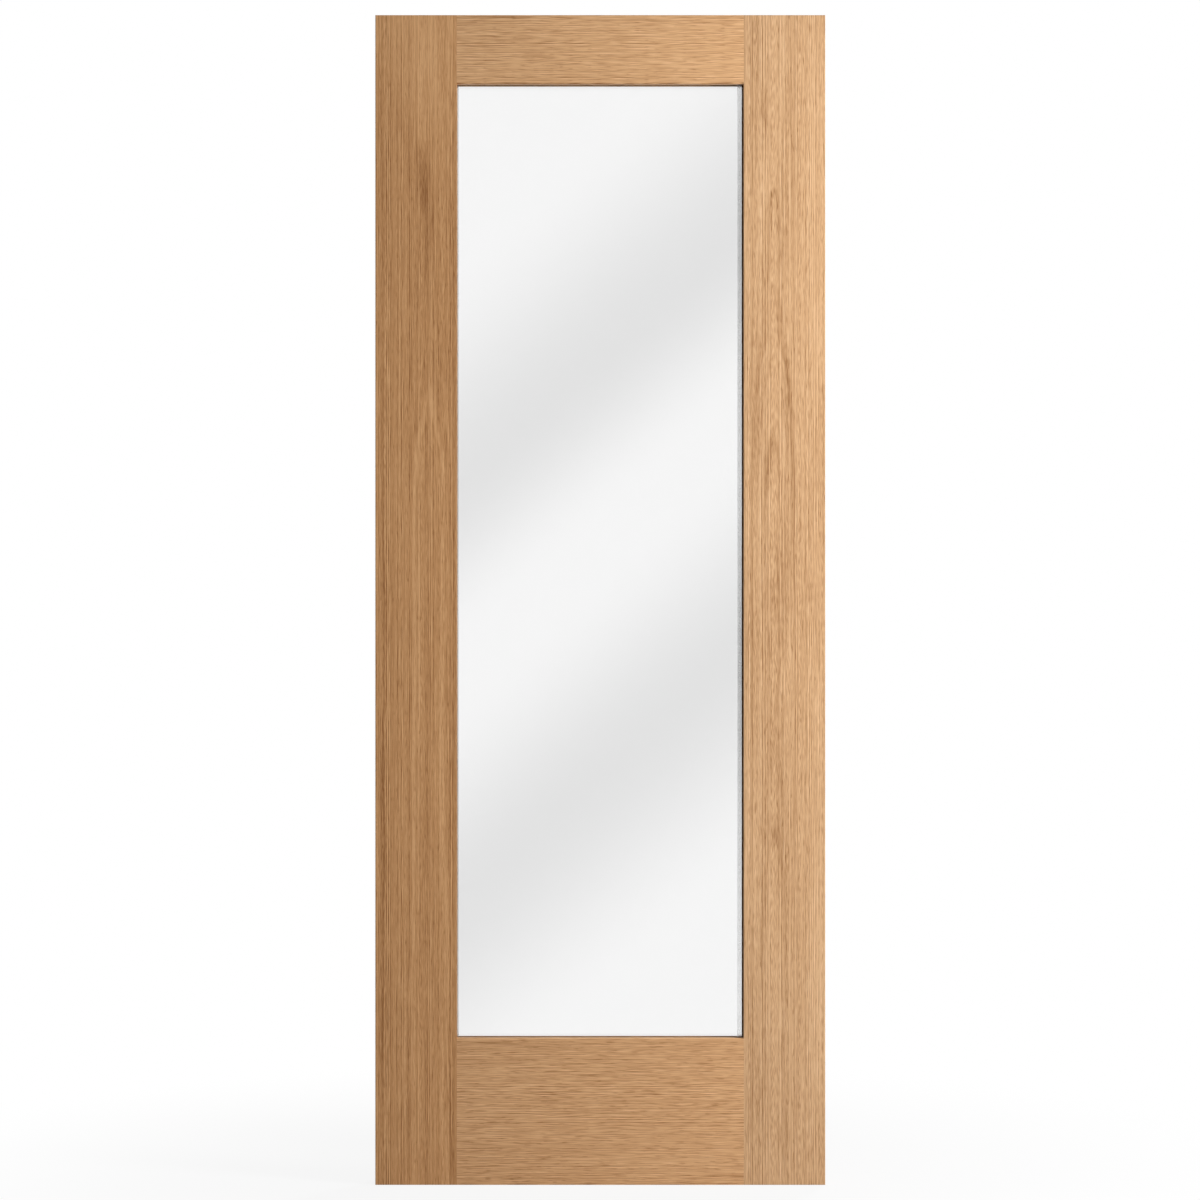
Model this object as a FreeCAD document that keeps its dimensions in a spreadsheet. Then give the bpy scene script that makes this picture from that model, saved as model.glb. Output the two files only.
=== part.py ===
"""A fully glazed oak door leaf: veneered stiles and rails round one sealed glass unit.

The leaf stands upright. X runs across it from the hinge edge, Y through it from the front face to the back,
Z up from its foot. The origin is at the foot of the hinge edge, in the middle of the thickness. Millimetres.
"""

import FreeCAD, Part
import os
import re
import Sketcher

OUT = "parts"

# Driving dimensions: alias, size and what it measures.
SIZES = [
    ("door_height", 1981, "foot to head of the leaf"),
    ("door_width", 762, "hinge edge to lock edge"),
    ("door_thickness", 44, "front face to back face"),
    ("stile_width", 138, "face width of each stile"),
    ("top_rail_width", 116.5, "face width of the top rail"),
    ("bottom_rail_width", 248.5, "face width of the bottom rail"),
    ("veneer_thickness", 3, "sawn oak veneer on each face"),
    ("outer_lipping_width", 10, "solid oak edge outside each stile"),
    ("inner_lipping_width", 27, "solid oak edge round the glass"),
    ("arris_radius", 1, "eased edges round the rim of the faces"),
    ("sight_chamfer", 1.5, "chamfer of the rails, in front of the glass"),
    ("lip_depth", 12, "front face to the seat of the rebate"),
    ("rebate_width", 20, "sight line to the wall of the rebate"),
    ("tape_thickness", 2, "glazing tape on each side of the unit"),
    ("tape_width", 6, "glazing tape, in from the edge of the unit"),
    ("pane_thickness", 4, "each sheet of glass"),
    ("cavity_depth", 10, "gap between the two sheets"),
    ("spacer_width", 8, "spacer bar, across the edge of the unit"),
    ("sealant_width", 5.5, "sealant outside the spacer bar"),
    ("unit_side_clearance", 12.5, "unit to rebate at each side, if centred"),
    ("unit_offset", 3.8, "unit off centre, towards the hinge stile"),
    ("unit_head_clearance", 3, "unit to rebate at the top"),
    ("bead_set_back", 1, "sight line of the front face to that of the beads"),
    ("bead_bevel", 2.5, "bevel of the beads, on their back face"),
    ("bead_quirk", 2, "square edge of the beads beside the glass"),
    ("block_height", 3, "setting blocks, from the rebate to the unit"),
    ("block_length", 100, "each setting block"),
    ("block_inset", 60, "end of the unit to its setting block"),
]

# Derived places and lengths, in terms of the driving dimensions.
LOCK_STILE_LEFT = "(door_width - stile_width)"
OPENING_WIDTH = "(door_width - 2 * stile_width)"
OPENING_HEIGHT = "(door_height - top_rail_width - bottom_rail_width)"
TOP_RAIL_FOOT = "(door_height - top_rail_width)"
FRONT = "(0 - door_thickness / 2)"
CORE_FRONT = f"({FRONT} + veneer_thickness)"
CORE_THICKNESS = "(door_thickness - 2 * veneer_thickness)"
BACK_VENEER_FRONT = "(door_thickness / 2 - veneer_thickness)"
REBATE_LEFT = "(stile_width - rebate_width)"
REBATE_FOOT = "(bottom_rail_width - rebate_width)"
REBATE_RUN = f"({OPENING_WIDTH} + 2 * rebate_width)"
REBATE_RISE = f"({OPENING_HEIGHT} + 2 * rebate_width)"
REBATE_FRONT = f"({FRONT} + lip_depth)"
OUTER_PANE_FRONT = f"({REBATE_FRONT} + tape_thickness)"
CAVITY_FRONT = f"({OUTER_PANE_FRONT} + pane_thickness)"
INNER_PANE_FRONT = f"({CAVITY_FRONT} + cavity_depth)"
BACK_TAPE_FRONT = f"({INNER_PANE_FRONT} + pane_thickness)"
BEAD_FRONT = f"({BACK_TAPE_FRONT} + tape_thickness)"
BEAD_DEPTH = f"(door_thickness / 2 - {BEAD_FRONT})"
BEAD_WIDTH = "(rebate_width - bead_set_back)"
UNIT_LEFT = f"({REBATE_LEFT} + unit_side_clearance - unit_offset)"
UNIT_FOOT = f"({REBATE_FOOT} + block_height)"
UNIT_WIDTH = f"({REBATE_RUN} - 2 * unit_side_clearance)"
UNIT_HEIGHT = f"({REBATE_RISE} - block_height - unit_head_clearance)"
UNIT_DEPTH = "(2 * pane_thickness + cavity_depth)"

SQUARE_TURN = 90
NEAR = 1e-6
THROUGH_ALL = 1
TWO_DISTANCES = 1
ROUGH_CORNERS = [(0, 0), (3, 0), (2, 1), (1, 1)]

doc = FreeCAD.newDocument("GlazedDoorLeaf")
sheet = doc.addObject("Spreadsheet::Sheet", "Sizes")
pieces = []


def fill_sheet():
    for row, (alias, size, meaning) in enumerate(SIZES, start=1):
        sheet.set(f"A{row}", meaning)
        sheet.set(f"B{row}", str(size))
        sheet.setAlias(f"B{row}", alias)
    doc.recompute()


def bound(formula):
    """The formula with each size written as its cell in the sheet."""
    return re.sub(r"[a-z_]+", lambda word: "Sizes." + word[0], formula)


def new_piece(name, left, front, foot, turn=0):
    """An empty body at that place, turned about Y, whose sketches are drawn in the plane of its front face."""
    body = doc.addObject("PartDesign::Body", name)
    body.Label = name
    body.Placement.Rotation = FreeCAD.Rotation(FreeCAD.Vector(0, 1, 0), turn)
    for axis, formula in zip("xyz", (left, front, foot)):
        body.setExpression(f"Placement.Base.{axis}", bound(formula))
    pieces.append(body)
    return body


def front_sketch(body, name, depth=None):
    """A sketch parallel to the body's front face, X across and Y up, set back by a depth."""
    sketch = body.newObject("Sketcher::SketchObject", f"{body.Label}_{name}")
    plane = next(f for f in body.Origin.OriginFeatures if f.Role == "XZ_Plane")
    sketch.AttachmentSupport = [(plane, "")]
    sketch.MapMode = "FlatFace"
    if depth:
        sketch.setExpression("AttachmentOffset.Base.z", bound(f"0 - {depth}"))
    return sketch


def draw_loop(sketch):
    """A closed loop of four lines through rough corners, which are pinned later."""
    points = [FreeCAD.Vector(*corner) for corner in ROUGH_CORNERS]
    for start, end in zip(points, points[1:] + points[:1]):
        sketch.addGeometry(Part.LineSegment(start, end), False)
    for line in range(len(points)):
        sketch.addConstraint(Sketcher.Constraint("Coincident", line, 2, (line + 1) % len(points), 1))


def pin(sketch, kind, line, end, name, formula):
    """Holds one end of a line at a distance from the sketch's origin, bound to the sheet."""
    index = sketch.addConstraint(Sketcher.Constraint(kind, -1, 1, line, end, 1.0))
    sketch.renameConstraint(index, name)
    sketch.setExpression(f"Constraints.{name}", bound(formula))


def draw_rectangle(sketch, left, foot, width, height):
    draw_loop(sketch)
    for line, way in enumerate(("Horizontal", "Vertical", "Horizontal", "Vertical")):
        sketch.addConstraint(Sketcher.Constraint(way, line))
    pin(sketch, "DistanceX", 0, 1, "left", left)
    pin(sketch, "DistanceY", 0, 1, "foot", foot)
    pin(sketch, "DistanceX", 1, 2, "right", f"{left} + {width}")
    pin(sketch, "DistanceY", 1, 2, "head", f"{foot} + {height}")


def pad_back(body, sketch, depth):
    """Pads a sketch from the body's front face towards its back."""
    pad = body.newObject("PartDesign::Pad", f"{body.Label}_pad")
    pad.Profile = sketch
    pad.Reversed = True
    pad.setExpression("Length", bound(depth))
    doc.recompute()
    return pad


def plate(name, left, front, foot, width, height, depth):
    """A rectangular board or sheet of glass."""
    body = new_piece(name, left, front, foot)
    sketch = front_sketch(body, "outline")
    draw_rectangle(sketch, "0", "0", width, height)
    pad_back(body, sketch, depth)
    return body


def rout_rebate(body, left, front, foot):
    """Cuts the glazing rebate out of a body at that place: one rectangle, from its seat out through the back."""
    sketch = front_sketch(body, "rebate", f"({REBATE_FRONT} - {front})")
    draw_rectangle(sketch, f"({REBATE_LEFT} - {left})", f"({REBATE_FOOT} - {foot})", REBATE_RUN, REBATE_RISE)
    before = body.Shape.Volume
    pocket = body.newObject("PartDesign::Pocket", f"{body.Label}_rebate_cut")
    pocket.Profile = sketch
    pocket.Type = THROUGH_ALL
    doc.recompute()
    if body.Shape.Volume > before - NEAR:
        raise RuntimeError(f"the rebate cut nothing from {body.Label}")


def lies_on(edge, axis, formula):
    """Whether an edge lies at that place along one of its body's axes."""
    place = sheet.evalExpression(bound(formula))
    return all(abs(getattr(vertex, axis) - place) < NEAR for vertex in edge.Vertexes)


def edges_along(shape, depth, lines):
    """The names of the edges at a depth behind the body's front that lie on one of the lines."""
    return [
        f"Edge{number}"
        for number, edge in enumerate(shape.Edges, start=1)
        if lies_on(edge, "Y", depth) and any(lies_on(edge, *line) for line in lines)
    ]


def dress_edges(body, kind, depth, lines, **sizes):
    """Adds a fillet or a chamfer along the edges of the face at a depth that lie on one of the lines."""
    base = body.Tip
    feature = body.newObject(f"PartDesign::{kind}", f"{body.Label}_{kind.lower()}")
    feature.Base = (base, edges_along(base.Shape, depth, lines))
    if "Size2" in sizes:
        feature.ChamferType = TWO_DISTANCES
    for name, formula in sizes.items():
        feature.setExpression(name, bound(formula))
    doc.recompute()


def veneers(member, left, foot, width, height, rim):
    """The front and back veneers of a stile or rail, eased round the rim of the leaf. The rebate is routed through
    the back one. Flush joints stay sharp.
    """
    front = plate(f"{member}_front_veneer", left, FRONT, foot, width, height, "veneer_thickness")
    dress_edges(front, "Fillet", "0", rim, Radius="arris_radius")
    back = plate(f"{member}_back_veneer", left, BACK_VENEER_FRONT, foot, width, height, "veneer_thickness")
    rout_rebate(back, left, REBATE_FRONT, foot)
    dress_edges(back, "Fillet", "veneer_thickness", rim, Radius="arris_radius")
    return front


def glass_side_lipping(name, left, foot, width, height):
    lipping = plate(name, left, CORE_FRONT, foot, width, height, CORE_THICKNESS)
    rout_rebate(lipping, left, CORE_FRONT, foot)


def stile(member, left, outer_left, core_left, inner_left, outer_edge):
    """A full-height stile: a core between a lipping on its outer edge and a rebated one beside the glass."""
    core_width = "stile_width - outer_lipping_width - inner_lipping_width"
    plate(f"{member}_core", core_left, CORE_FRONT, "0", core_width, "door_height", CORE_THICKNESS)
    plate(
        f"{member}_outer_lipping", outer_left, CORE_FRONT, "0",
        "outer_lipping_width", "door_height", CORE_THICKNESS,
    )
    glass_side_lipping(f"{member}_inner_lipping", inner_left, "0", "inner_lipping_width", "door_height")
    rim = [("X", outer_edge), ("Z", "0"), ("Z", "door_height")]
    veneers(member, left, "0", "stile_width", "door_height", rim)


def rail(member, foot, height, core_foot, lipping_foot, outer_edge, sight_edge):
    """A rail between the stiles: a core with a rebated lipping on the edge beside the glass."""
    core_height = f"{height} - inner_lipping_width"
    plate(f"{member}_core", "stile_width", CORE_FRONT, core_foot, OPENING_WIDTH, core_height, CORE_THICKNESS)
    glass_side_lipping(f"{member}_lipping", "stile_width", lipping_foot, OPENING_WIDTH, "inner_lipping_width")
    front = veneers(member, "stile_width", foot, OPENING_WIDTH, height, [("Z", outer_edge)])
    dress_edges(front, "Chamfer", "0", [("Z", sight_edge)], Size="sight_chamfer")


def mitred_strip(name, corner, turn, length, front, width, depth):
    """A strip with mitred ends: its outer edge starts at a corner, its inner edge lies to the left of its run."""
    left, foot = corner
    body = new_piece(name, left, front, foot, turn)
    sketch = front_sketch(body, "outline")
    draw_loop(sketch)
    pin(sketch, "DistanceX", 0, 1, "start_x", "0")
    pin(sketch, "DistanceY", 0, 1, "start_y", "0")
    pin(sketch, "DistanceX", 0, 2, "end_x", length)
    pin(sketch, "DistanceY", 0, 2, "end_y", "0")
    pin(sketch, "DistanceX", 1, 2, "inner_end_x", f"{length} - {width}")
    pin(sketch, "DistanceY", 1, 2, "inner_end_y", width)
    pin(sketch, "DistanceX", 2, 2, "inner_start_x", width)
    pin(sketch, "DistanceY", 2, 2, "inner_start_y", width)
    pad_back(body, sketch, depth)
    return body


def mitred_frame(name, left, foot, run, rise, front, width, depth):
    """Four mitred strips inside a rectangle, named by the side that they lie on."""
    right = f"({left} + {run})"
    head = f"({foot} + {rise})"
    return [
        mitred_strip(f"{name}_bottom", (left, foot), 0, run, front, width, depth),
        mitred_strip(f"{name}_lock_side", (right, foot), -SQUARE_TURN, rise, front, width, depth),
        mitred_strip(f"{name}_top", (right, head), 2 * SQUARE_TURN, run, front, width, depth),
        mitred_strip(f"{name}_hinge_side", (left, head), SQUARE_TURN, rise, front, width, depth),
    ]


def leaf():
    """The timber of the leaf."""
    stile(
        "hinge_stile", "0", "0",
        "outer_lipping_width", "(stile_width - inner_lipping_width)", outer_edge="0",
    )
    stile(
        "lock_stile", LOCK_STILE_LEFT, "(door_width - outer_lipping_width)",
        f"({LOCK_STILE_LEFT} + inner_lipping_width)", LOCK_STILE_LEFT, outer_edge="stile_width",
    )
    rail(
        "top_rail", TOP_RAIL_FOOT, "top_rail_width",
        f"({TOP_RAIL_FOOT} + inner_lipping_width)", TOP_RAIL_FOOT, outer_edge="top_rail_width", sight_edge="0",
    )
    rail(
        "bottom_rail", "0", "bottom_rail_width",
        "0", "(bottom_rail_width - inner_lipping_width)", outer_edge="0", sight_edge="bottom_rail_width",
    )


def sealed_unit():
    """Two panes held apart by spacer bars, with sealant round the edge of the cavity."""
    for name, front in (("outer_pane", OUTER_PANE_FRONT), ("inner_pane", INNER_PANE_FRONT)):
        plate(name, UNIT_LEFT, front, UNIT_FOOT, UNIT_WIDTH, UNIT_HEIGHT, "pane_thickness")
    mitred_frame(
        "edge_sealant", UNIT_LEFT, UNIT_FOOT, UNIT_WIDTH, UNIT_HEIGHT,
        CAVITY_FRONT, "sealant_width", "cavity_depth",
    )
    mitred_frame(
        "spacer_bar", f"({UNIT_LEFT} + sealant_width)", f"({UNIT_FOOT} + sealant_width)",
        f"({UNIT_WIDTH} - 2 * sealant_width)", f"({UNIT_HEIGHT} - 2 * sealant_width)",
        CAVITY_FRONT, "spacer_width", "cavity_depth",
    )


def glazing():
    """What holds the unit: tape along the edges of both its faces, beads behind it and setting blocks under it."""
    for name, front in (("front_tape", REBATE_FRONT), ("back_tape", BACK_TAPE_FRONT)):
        mitred_frame(
            name, UNIT_LEFT, UNIT_FOOT, UNIT_WIDTH, UNIT_HEIGHT,
            front, "tape_width", "tape_thickness",
        )
    beads = mitred_frame(
        "glazing_bead", REBATE_LEFT, REBATE_FOOT, REBATE_RUN, REBATE_RISE,
        BEAD_FRONT, BEAD_WIDTH, BEAD_DEPTH,
    )
    for bead in beads:
        dress_edges(
            bead, "Chamfer", BEAD_DEPTH, [("Z", BEAD_WIDTH)],
            Size=f"{BEAD_DEPTH} - bead_quirk", Size2="bead_bevel",
        )
    block_places = {
        "setting_block_hinge_side": f"({UNIT_LEFT} + block_inset)",
        "setting_block_lock_side": f"({UNIT_LEFT} + {UNIT_WIDTH} - block_inset - block_length)",
    }
    for name, left in block_places.items():
        plate(name, left, OUTER_PANE_FRONT, REBATE_FOOT, "block_length", "block_height", UNIT_DEPTH)


def check():
    """Stops if a feature failed or a piece is not one valid solid."""
    for item in doc.Objects:
        if "Invalid" in item.State or "Error" in item.State:
            raise RuntimeError(f"{item.Label} failed: {item.State}")
    for piece in pieces:
        shape = piece.Shape
        if shape.isNull() or not shape.isValid() or len(shape.Solids) != 1:
            raise RuntimeError(f"{piece.Label} is not one valid solid")


def export():
    os.makedirs(OUT, exist_ok=True)
    for piece in pieces:
        piece.Shape.exportStep(os.path.join(OUT, f"{piece.Label}.step"))


fill_sheet()
leaf()
sealed_unit()
glazing()
doc.recompute()
check()
export()
print(f"{len(pieces)} pieces")
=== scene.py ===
"""Looks of a fully glazed oak door leaf: lacquered oak veneers, a clear sealed unit, a soft white studio."""

import math

import bmesh
import bpy
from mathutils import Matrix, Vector


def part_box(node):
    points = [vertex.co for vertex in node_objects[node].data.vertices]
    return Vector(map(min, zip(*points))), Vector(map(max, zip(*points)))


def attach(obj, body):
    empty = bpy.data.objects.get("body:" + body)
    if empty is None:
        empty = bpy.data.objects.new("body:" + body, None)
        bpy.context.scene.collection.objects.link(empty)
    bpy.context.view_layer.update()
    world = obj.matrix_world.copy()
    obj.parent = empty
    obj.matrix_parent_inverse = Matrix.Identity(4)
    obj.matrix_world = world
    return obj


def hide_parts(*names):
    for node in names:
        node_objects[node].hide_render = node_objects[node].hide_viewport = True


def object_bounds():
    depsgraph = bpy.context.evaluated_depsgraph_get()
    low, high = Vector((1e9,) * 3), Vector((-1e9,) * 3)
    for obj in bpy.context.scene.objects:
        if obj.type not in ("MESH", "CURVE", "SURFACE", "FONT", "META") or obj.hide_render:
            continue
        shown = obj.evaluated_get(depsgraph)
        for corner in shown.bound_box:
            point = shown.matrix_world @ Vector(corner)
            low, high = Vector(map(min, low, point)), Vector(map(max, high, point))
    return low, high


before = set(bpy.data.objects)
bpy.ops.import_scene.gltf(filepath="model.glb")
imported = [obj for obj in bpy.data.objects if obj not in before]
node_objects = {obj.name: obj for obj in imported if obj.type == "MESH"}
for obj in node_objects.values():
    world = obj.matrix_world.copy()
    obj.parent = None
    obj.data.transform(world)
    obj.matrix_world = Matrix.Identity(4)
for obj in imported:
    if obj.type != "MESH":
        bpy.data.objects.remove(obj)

MM = 0.001
cad_low, cad_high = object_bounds()
scene = bpy.context.scene
SIDES = ("bottom", "lock_side", "top", "hinge_side")

# The leaf's main lines, read from its solids.
LEAF_HEIGHT = cad_high.z
LEAF_WIDTH = cad_high.x
FRONT_Y = cad_low.y
BACK_Y = cad_high.y
STILE_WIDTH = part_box("hinge_stile_front_veneer")[1].x
LOCK_STILE_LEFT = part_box("lock_stile_front_veneer")[0].x
TOP_RAIL_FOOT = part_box("top_rail_front_veneer")[0].z
BOTTOM_RAIL_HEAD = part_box("bottom_rail_front_veneer")[1].z


class Tree:
    """The node tree of a material or of the world, with short calls for the nodes that the looks use."""

    def __init__(self, owner):
        owner.use_nodes = True
        self.tree = owner.node_tree
        self.tree.nodes.clear()

    def put(self, socket, value):
        """Links a socket, or sets a constant on it."""
        if isinstance(value, bpy.types.NodeSocket):
            self.tree.links.new(value, socket)
        elif isinstance(value, (tuple, list)) and len(value) == 3 and socket.type == "RGBA":
            socket.default_value = (*value, 1.0)
        else:
            socket.default_value = value

    def add(self, kind, inputs=None, **settings):
        """A new node with its settings and inputs."""
        node = self.tree.nodes.new(kind)
        for name, value in settings.items():
            setattr(node, name, value)
        for name, value in (inputs or {}).items():
            self.put(node.inputs[name], value)
        return node

    def math(self, operation, *values, clamp=False):
        """One step of arithmetic."""
        node = self.add("ShaderNodeMath", operation=operation, use_clamp=clamp)
        for socket, value in zip(node.inputs, values):
            self.put(socket, value)
        return node.outputs[0]

    def times(self, product, *others):
        """The product of two or more values."""
        for other in others:
            product = self.math("MULTIPLY", product, other)
        return product

    def total(self, value, *parts):
        """A value plus parts, each given after its weight."""
        for weight, part in parts:
            value = self.math("MULTIPLY_ADD", part, weight, value)
        return value

    def gap(self, value, place):
        """How far a value lies from a place, to either side."""
        return self.math("ABSOLUTE", self.math("SUBTRACT", value, place))

    def hypot(self, first, second):
        """How far a point lies from the origin, from its two coordinates."""
        squares = [self.math("POWER", value, 2.0) for value in (first, second)]
        return self.math("SQRT", self.math("ADD", *squares))

    def join(self, x=0.0, y=0.0, z=0.0):
        """A vector from three values."""
        return self.add("ShaderNodeCombineXYZ", {"X": x, "Y": y, "Z": z}).outputs[0]

    def split(self, vector):
        """The X, Y and Z of a vector."""
        return self.add("ShaderNodeSeparateXYZ", {"Vector": vector}).outputs

    def coordinates(self, kind="Object"):
        """The X, Y and Z of a place in metres, or of another kind of texture coordinate."""
        return self.split(self.add("ShaderNodeTexCoord").outputs[kind])

    def cells(self, places, counts):
        """A vector that counts cells along three places, so many to the metre."""
        return self.join(*(self.math("MULTIPLY", place, count) for place, count in zip(places, counts)))

    def noise(self, place, detail=2.0, roughness=0.5, dimensions="3D", scale=1.0):
        """Fractal noise from 0 to 1 at a place that is already counted in cells."""
        values = {"W" if dimensions == "1D" else "Vector": place}
        values.update({"Scale": scale, "Detail": detail, "Roughness": roughness})
        return self.add("ShaderNodeTexNoise", values, noise_dimensions=dimensions).outputs["Fac"]

    def white_noise(self, number):
        """A value from 0 to 1 that each number has for itself."""
        return self.add("ShaderNodeTexWhiteNoise", {"W": number}, noise_dimensions="1D").outputs["Value"]

    def span(self, value, low, high, new_low=0.0, new_high=1.0, smooth=True):
        """Maps a value from one range to another and holds it there."""
        node = self.add("ShaderNodeMapRange", interpolation_type="SMOOTHSTEP" if smooth else "LINEAR")
        for name, number in zip(("From Min", "From Max", "To Min", "To Max"), (low, high, new_low, new_high)):
            self.put(node.inputs[name], number)
        self.put(node.inputs["Value"], value)
        return node.outputs["Result"]

    def ramp(self, value, stops, interpolation="LINEAR"):
        """A colour, or a grey, that runs through stops of (place, colour)."""
        node = self.add("ShaderNodeValToRGB", {"Fac": value})
        node.color_ramp.interpolation = interpolation
        points = node.color_ramp.elements
        while len(points) < len(stops):
            points.new(0.5)
        for point, (place, colour) in zip(points, stops):
            point.position = place
            point.color = (*colour, 1.0) if isinstance(colour, tuple) else (colour, colour, colour, 1.0)
        return node.outputs["Color"]

    def curve(self, value, points):
        """A smooth curve through points, both from 0 to 1."""
        node = self.add("ShaderNodeFloatCurve", {"Value": value})
        line = node.mapping.curves[0]
        while len(line.points) < len(points):
            line.points.new(0.5, 0.5)
        for point, place in zip(line.points, points):
            point.location = place
            point.handle_type = "AUTO_CLAMPED"
        node.mapping.update()
        return node.outputs["Value"]

    def mix(self, share, first, second):
        """The first colour with a share of the second."""
        node = self.add("ShaderNodeMix", data_type="RGBA")
        colours = [socket for socket in node.inputs if socket.type == "RGBA"]
        self.put(node.inputs["Factor"], share)
        self.put(colours[0], first)
        self.put(colours[1], second)
        return next(socket for socket in node.outputs if socket.type == "RGBA")

    def end_grain(self, along, low, high, most):
        """A share that grows from 0 to most where a face turns square to grain along X or Z."""
        return self.span(self.math("ABSOLUTE", self.coordinates("Normal")[along]), low, high, 0.0, most)

    def choose(self, share, first, second):
        """The first shader, or a share of the second."""
        return self.add("ShaderNodeMixShader", {0: share, 1: first.outputs[0], 2: second.outputs[0]})

    def coat(self, colour, roughness, relief, relief_strength, relief_height, constants):
        """Ends the tree in one surface with a fine relief, and constants on its other sockets."""
        bump = self.add("ShaderNodeBump", {
            "Strength": relief_strength, "Distance": relief_height, "Height": relief,
        })
        values = {"Base Color": colour, "Roughness": roughness, "Normal": bump.outputs["Normal"], **constants}
        self.output(self.add("ShaderNodeBsdfPrincipled", values))

    def output(self, shader, kind="ShaderNodeOutputMaterial"):
        """Ends the tree in a shader."""
        self.tree.links.new(shader.outputs[0], self.add(kind).inputs["Surface"])


def new_tree(name):
    material = bpy.data.materials.new(name)
    return material, Tree(material)


# Oak. A board is cut through growth rings round a pith line that runs along it, some way behind the face.
RING_WIDTH = 3.2 * MM
HINGE_STILE_RING_WIDTH = 4.0 * MM
LOCK_STILE_RING_WIDTH = 4.5 * MM
# Mean colours of the boards, and the shares of them that dark and light grain has.
# Painted shade: the hinge stile's colour is darker and more saturated than the oak, standing in for the side
# away from the lamp.
HINGE_STILE_OAK_AND_SHADE = (0.510, 0.261, 0.108)
# Painted sheen: the lock stile's colour is paler and less saturated, standing in for the lamp's sheen on the
# side towards it.
LOCK_STILE_OAK_AND_SHEEN = (0.578, 0.347, 0.180)
TOP_RAIL_OAK = (0.630, 0.363, 0.178)
BOTTOM_RAIL_OAK = (0.606, 0.340, 0.162)
OAK = (0.590, 0.325, 0.150)
DARK_GRAIN = (0.50, 0.40, 0.30)
LIGHT_GRAIN = (1.38, 1.55, 1.80)

# Streaks that run straight along the board, from fine to broad: cells per metre across it, changes per metre
# along it, the share that does not change, and weight.
HINGE_STILE_STREAKS = (
    (540.0, 24.0, 0.60, 1.16), (300.0, 14.0, 0.60, 0.34), (156.0, 6.0, 0.55, 0.19), (78.0, 4.0, 0.50, 0.24),
    (39.0, 2.8, 0.30, 0.28), (19.0, 2.2, 0.30, 0.32),
)
STILE_STREAKS = (
    (540.0, 20.0, 0.65, 0.96), (300.0, 12.0, 0.60, 0.16), (156.0, 6.0, 0.55, 0.07), (78.0, 5.0, 0.40, 0.08),
    (39.0, 4.5, 0.15, 0.10), (19.0, 4.0, 0.10, 0.12),
)
RAIL_STREAKS = (
    (570.0, 26.0, 0.55, 0.84), (320.0, 20.0, 0.45, 0.12), (156.0, 10.0, 0.40, 0.05), (78.0, 6.0, 0.40, 0.07),
    (39.0, 5.0, 0.30, 0.08),
)
# A streak's changes: how many of their cells go to one of its own across the board, and how far they go.
CHANGE_CELLS = 0.8
CHANGE_GAIN = 8.0
# Short dashes along Z on stiles and X on rails: cells per metre across the board and along it, and weight.
DASHES = {
    "Z": ((600.0, 90.0, 0.66), (300.0, 40.0, 0.05)),
    "X": ((590.0, 50.0, 0.74), (320.0, 30.0, 0.05)),
}
# Where dashes begin: how fast that changes from lane to lane, and how many dashes apart.
DASH_START_SCALE = 0.7
DASH_START_SPREAD = 9.0
# Streaks that follow the growth rings: cells per metre of ring radius, and weight. Then the changes per metre
# along the board and the share that does not change, alike for all.
RING_STREAKS = ((640.0, 0.14), (330.0, 0.10), (156.0, 0.04))
RING_STREAK_CHANGES = 6.0
RING_STREAK_STEADY = 0.35

# Layers of noise: cells per metre across the board and along it, octaves, and an offset of the layer's own.
WANDER = (5.0, 2.6, 2.0, 0.0)
SHIFT = (30.0, 9.0, 2.0, 3.0)
TONE = (11.0, 2.2, 2.0, 5.0)
RIPPLE = (30.0, 12.0, 2.0, 7.0)
JITTER = (44.0, 20.0, 1.0, 9.0)
FADE = (20.0, 5.0, 2.0, 11.0)
PORES = (560.0, 62.0, 0.0, 19.0)
BREAKS = (240.0, 9.0, 1.0, 29.0)
# Offsets of the first layer of each numbered kind, and of a streak's changes.
STREAK_OFFSET = 13.0
RING_STREAK_OFFSET = 23.0
DASH_OFFSET = 31.0
CHANGE_OFFSET = 40.0
# How far the layers move the rings sideways and along the board.
WANDER_REACH = 8.0 * MM
RIPPLE_REACH = 1.6 * MM
JITTER_REACH = 5.6 * MM
SHIFT_REACH = 34.0 * MM
# How far they move the straight fibres sideways, in grain along Z and X.
FIBRE_WANDER = {"Z": 4.0 * MM, "X": 1.6 * MM}
FIBRE_RIPPLE = {"Z": 0.9 * MM, "X": 0.3 * MM}

# A ring's line, from one ring (0) to the next (1), and its tone, which differs from ring to ring.
RING_LINE = [(0.0, 1.0), (0.08, 0.9), (0.28, 0.15), (0.50, 0.0), (0.88, 0.05), (1.0, 1.0)]
LEAST_RING_TONE = 0.5
RING_TONE_SPREAD = 0.7
# The slope of the rings is found over this length. Their lines grow to full strength between these slopes.
SLOPE_STEP = 6.0 * MM
LINE_SLOPES = (0.03, 0.22)
# Lines fade and break, pores open and flecks end between two values, from one strength to another. Pores go
# from 0 to 1.
FADE_RANGE = (-0.16, 0.12, 0.55, 1.0)
BREAK_RANGE = (-0.16, 0.10, 0.55, 1.0)
PORE_RANGE = (0.14, 0.28)
FLECK_RANGE = (0.5, 1.7, 1.0, 0.0)
FLECK_RAGGEDNESS = 0.6
# An arch's soft edge in half widths, the share of its last slope where its legs begin to fade, and what is
# left of them at their end.
ARCH_EDGE = 1.6
LEG_FADE_START = 0.55
LEG_END = 0.1
# The mean tone of the grain, the weights of broad tone and pores, and the share of the pores' strength that
# keeps to the ring lines.
MEAN_TONE = 0.5
TONE_WEIGHT = 0.20
PORE_WEIGHT = -0.30
PORES_ON_LINES = 0.5
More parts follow.
